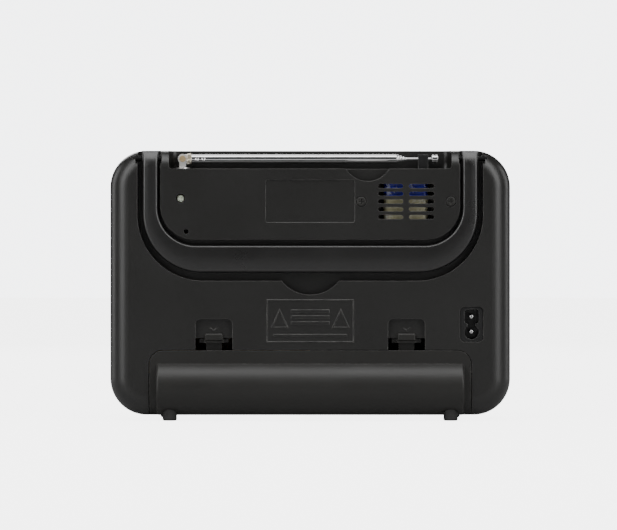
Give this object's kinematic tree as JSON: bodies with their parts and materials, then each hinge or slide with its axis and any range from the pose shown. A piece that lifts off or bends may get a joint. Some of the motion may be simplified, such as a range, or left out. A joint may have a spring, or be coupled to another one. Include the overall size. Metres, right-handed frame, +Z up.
{
  "type": "portable radio",
  "caption": "Tabletop radio with fold-down carrying handle, telescopic aerial, tuning dial, speaker, mains inlet and hinged battery door.",
  "frame": {"origin": "on the resting surface, under the middle of the whole radio's bounding box", "axes": "+X towards the listener's right, -Y out of the front with the dial, +Y out of the rear cover, +Z up"},
  "size_m": [0.23, 0.086, 0.155],
  "materials": {
    "cabinet_plastic": "satin black moulded plastic",
    "handle_plastic": "satin black moulded plastic",
    "door_plastic": "satin black moulded plastic",
    "grille_paint": "black painted pressed steel",
    "lens_plastic": "clear acrylic",
    "scale_print": "printed scale",
    "pointer_red": "red acrylic",
    "chrome": "polished plating",
    "brass": "plain",
    "zinc_steel": "zinc plated",
    "black_steel": "blackened steel",
    "rubber": "matt",
    "socket_plastic": "satin black",
    "board_laminate": "phenolic laminate",
    "component_black": "moulded",
    "component_blue": "sleeve",
    "can_metal": "drawn can",
    "ferrite": "sintered",
    "coil_copper": "enamelled wire",
    "blue_tape": "polyester tape",
    "yellow_tape": "polyester tape",
    "bobbin_nylon": "nylon",
    "core_steel": "varnished laminations",
    "paper": "paper cone",
    "magnet_grey": "sintered",
    "cord_fibre": "braided cord",
    "lead_sleeve": "PVC",
    "lamp_red": "clear red",
    "knob_plastic": "satin",
    "silver_plastic": "satin silver"
  },
  "bodies": {
    "body": {"aerial_base": "chrome", "aerial_clip": "cabinet_plastic", "aerial_rivet": "brass", "battery_box": "cabinet_plastic", "battery_contacts": "zinc_steel", "board_capacitors": "component_blue", "board_chips": "component_black", "case_screws": "black_steel", "cord_guides": "bobbin_nylon", "dial_cord": "cord_fibre", "dial_lens": "lens_plastic", "dial_scale": "scale_print", "ferrite_clips": "bobbin_nylon", "ferrite_coils": "coil_copper", "ferrite_rod": "ferrite", "front_cabinet": "cabinet_plastic", "front_feet": "rubber", "handle_pins": "black_steel", "headphone_jack": "socket_plastic", "if_transformers": "can_metal", "main_board": "board_laminate", "mains_inlet": "socket_plastic", "mains_pins": "chrome", "panel_screws": "zinc_steel", "potentiometers": "zinc_steel", "power_lamp": "lamp_red", "primary_winding": "yellow_tape", "rear_cover": "cabinet_plastic", "secondary_winding": "blue_tape", "slide_switches": "zinc_steel", "speaker_frame": "black_steel", "speaker_grille": "grille_paint", "speaker_magnet": "magnet_grey", "speaker_surround": "rubber", "terminal_screw": "chrome", "transformer_bobbin": "bobbin_nylon", "transformer_bracket": "zinc_steel", "transformer_core": "core_steel", "tuning_capacitor": "bobbin_nylon", "wiring_leads": "lead_sleeve"},
    "handle_body": {"handle": "handle_plastic"},
    "aerial_tube": {"aerial_knuckle": "chrome", "aerial_section_1": "chrome"},
    "aerial_tube_2": {"aerial_section_2": "chrome"},
    "aerial_tube_3": {"aerial_section_3": "chrome"},
    "aerial_tube_4": {"aerial_section_4": "chrome"},
    "aerial_tube_5": {"aerial_section_5": "chrome"},
    "door_body": {"battery_door": "door_plastic", "rear_feet": "rubber"},
    "latch_left_body": {"battery_latch_left": "door_plastic"},
    "latch_right_body": {"battery_latch_right": "door_plastic"},
    "tuning_knob_body": {"tuning_knob": "knob_plastic", "tuning_spindle": "zinc_steel"},
    "drum_body": {"tuning_drum": "bobbin_nylon"},
    "pointer_body": {"dial_pointer": "pointer_red"},
    "volume_body": {"volume_knob": "knob_plastic"},
    "tone_body": {"tone_knob": "knob_plastic"},
    "band_body": {"band_slider": "silver_plastic"},
    "power_body": {"power_slider": "silver_plastic"},
    "cone_body": {"speaker_cone": "paper"}
  },
  "joints": [
    {"name": "handle_pivot", "type": "hinge", "parent": "body", "child": "handle_body", "pos_m": [0, 0.0305, 0.1503], "axis": [1, 0, 0], "range_deg": [0, 180]},
    {"name": "aerial_tilt", "type": "hinge", "parent": "body", "child": "aerial_tube", "pos_m": [0.0734, 0.0225, 0.1503], "axis": [0, 1, 0], "range_deg": [0, 90]},
    {"name": "aerial_draw_2", "type": "slide", "parent": "aerial_tube", "child": "aerial_tube_2", "axis": [-1, 0, 0], "range_m": [0, 0.088]},
    {"name": "aerial_draw_3", "type": "slide", "parent": "aerial_tube_2", "child": "aerial_tube_3", "axis": [-1, 0, 0], "range_m": [0, 0.088]},
    {"name": "aerial_draw_4", "type": "slide", "parent": "aerial_tube_3", "child": "aerial_tube_4", "axis": [-1, 0, 0], "range_m": [0, 0.088]},
    {"name": "aerial_draw_5", "type": "slide", "parent": "aerial_tube_4", "child": "aerial_tube_5", "axis": [-1, 0, 0], "range_m": [0, 0.088]},
    {"name": "door_hinge", "type": "hinge", "parent": "body", "child": "door_body", "pos_m": [0, 0.02, 0.003], "axis": [-1, 0, 0], "range_deg": [0, 90]},
    {"name": "latch_left_slide", "type": "slide", "parent": "door_body", "child": "latch_left_body", "axis": [0, 0, -1], "range_m": [0, 0.002], "stiffness_N_per_m": 800},
    {"name": "latch_right_slide", "type": "slide", "parent": "door_body", "child": "latch_right_body", "axis": [0, 0, -1], "range_m": [0, 0.002], "stiffness_N_per_m": 800},
    {"name": "tuning_turn", "type": "hinge", "parent": "body", "child": "tuning_knob_body", "pos_m": [0.088, -0.022, 0.064], "axis": [0, 1, 0], "range_deg": [-601.41, 902.12]},
    {"name": "drum_turn", "type": "hinge", "parent": "body", "child": "drum_body", "pos_m": [0.052, -0.0256, 0.082], "axis": [0, 1, 0], "range_deg": [-72.5, 108.5]},
    {"name": "pointer_slide", "type": "slide", "parent": "body", "child": "pointer_body", "axis": [1, 0, 0], "range_m": [-0.03619, 0.05403]},
    {"name": "volume_turn", "type": "hinge", "parent": "body", "child": "volume_body", "pos_m": [0.026, -0.036, 0.034], "axis": [0, 1, 0], "range_deg": [0, 300]},
    {"name": "tone_turn", "type": "hinge", "parent": "body", "child": "tone_body", "pos_m": [0.054, -0.036, 0.034], "axis": [0, 1, 0], "range_deg": [-150, 150]},
    {"name": "band_slide", "type": "slide", "parent": "body", "child": "band_body", "axis": [1, 0, 0], "range_m": [0, 0.004]},
    {"name": "power_slide", "type": "slide", "parent": "body", "child": "power_body", "axis": [1, 0, 0], "range_m": [0, 0.004]},
    {"name": "cone_travel", "type": "slide", "parent": "body", "child": "cone_body", "axis": [0, 1, 0], "range_m": [-0.001, 0.001], "stiffness_N_per_m": 1000}
  ],
  "couplings": [
    {"joint": "aerial_draw_2", "follows": "aerial_tilt", "m_per_rad": 0.056022},
    {"joint": "aerial_draw_3", "follows": "aerial_tilt", "m_per_rad": 0.056022},
    {"joint": "aerial_draw_4", "follows": "aerial_tilt", "m_per_rad": 0.056022},
    {"joint": "aerial_draw_5", "follows": "aerial_tilt", "m_per_rad": 0.056022},
    {"joint": "drum_turn", "follows": "tuning_turn", "ratio": 0.11972},
    {"joint": "pointer_slide", "follows": "tuning_turn", "m_per_rad": 0.0034}
  ]
}
